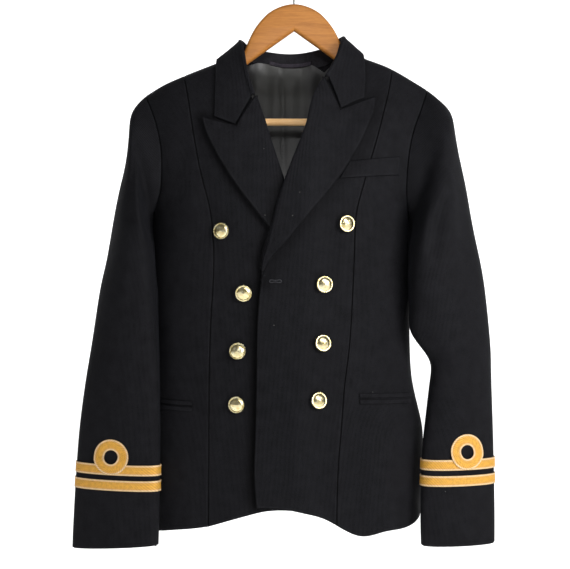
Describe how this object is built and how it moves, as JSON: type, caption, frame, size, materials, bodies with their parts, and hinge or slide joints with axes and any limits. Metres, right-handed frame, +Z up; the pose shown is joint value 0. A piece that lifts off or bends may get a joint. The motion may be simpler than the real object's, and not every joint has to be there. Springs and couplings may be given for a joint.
{
  "type": "military dress tunic on a hanger",
  "caption": "Double-breasted dark navy dress tunic with peak lapels, gilt buttons and gold cuff lace, hanging on a wooden hanger.",
  "frame": {"origin": "inside top of the hanger's hook, where a rail bears", "axes": "+Z up, +X towards the wearer's left, -Y is the tunic's front"},
  "size_m": [0.5815, 0.1541, 0.832],
  "materials": {
    "wool": "fine ribbed wool, matt with a slight sheen",
    "buttons": "polished gilt",
    "lace": "gold wire braid",
    "lining": "smooth satin lining",
    "wood": "satin varnish",
    "wire": "bright wire"
  },
  "bodies": {
    "root": {"front_left": "wool", "front_right": "wool", "side_front_left": "wool", "side_front_right": "wool", "back_left": "wool", "back_right": "wool", "top_sleeve_left": "wool", "top_sleeve_right": "wool", "under_sleeve_left": "wool", "under_sleeve_right": "wool", "collar": "wool", "lapel_left": "wool", "lapel_right": "wool", "breast_welt": "wool", "jet_upper_left": "wool", "jet_lower_left": "wool", "jet_upper_right": "wool", "jet_lower_right": "wool", "button_left_1": "buttons", "button_left_2": "buttons", "button_left_3": "buttons", "button_left_4": "buttons", "button_right_1": "buttons", "button_right_2": "buttons", "button_right_3": "buttons", "button_right_4": "buttons", "lace_upper_left": "lace", "lace_lower_left": "lace", "lace_upper_right": "lace", "lace_lower_right": "lace", "curl_left": "lace", "curl_right": "lace", "lining_left": "lining", "lining_right": "lining", "hanging_loop": "lining", "hanger_wood": "wood", "trouser_bar": "wood", "hook": "wire"}
  },
  "joints": []
}
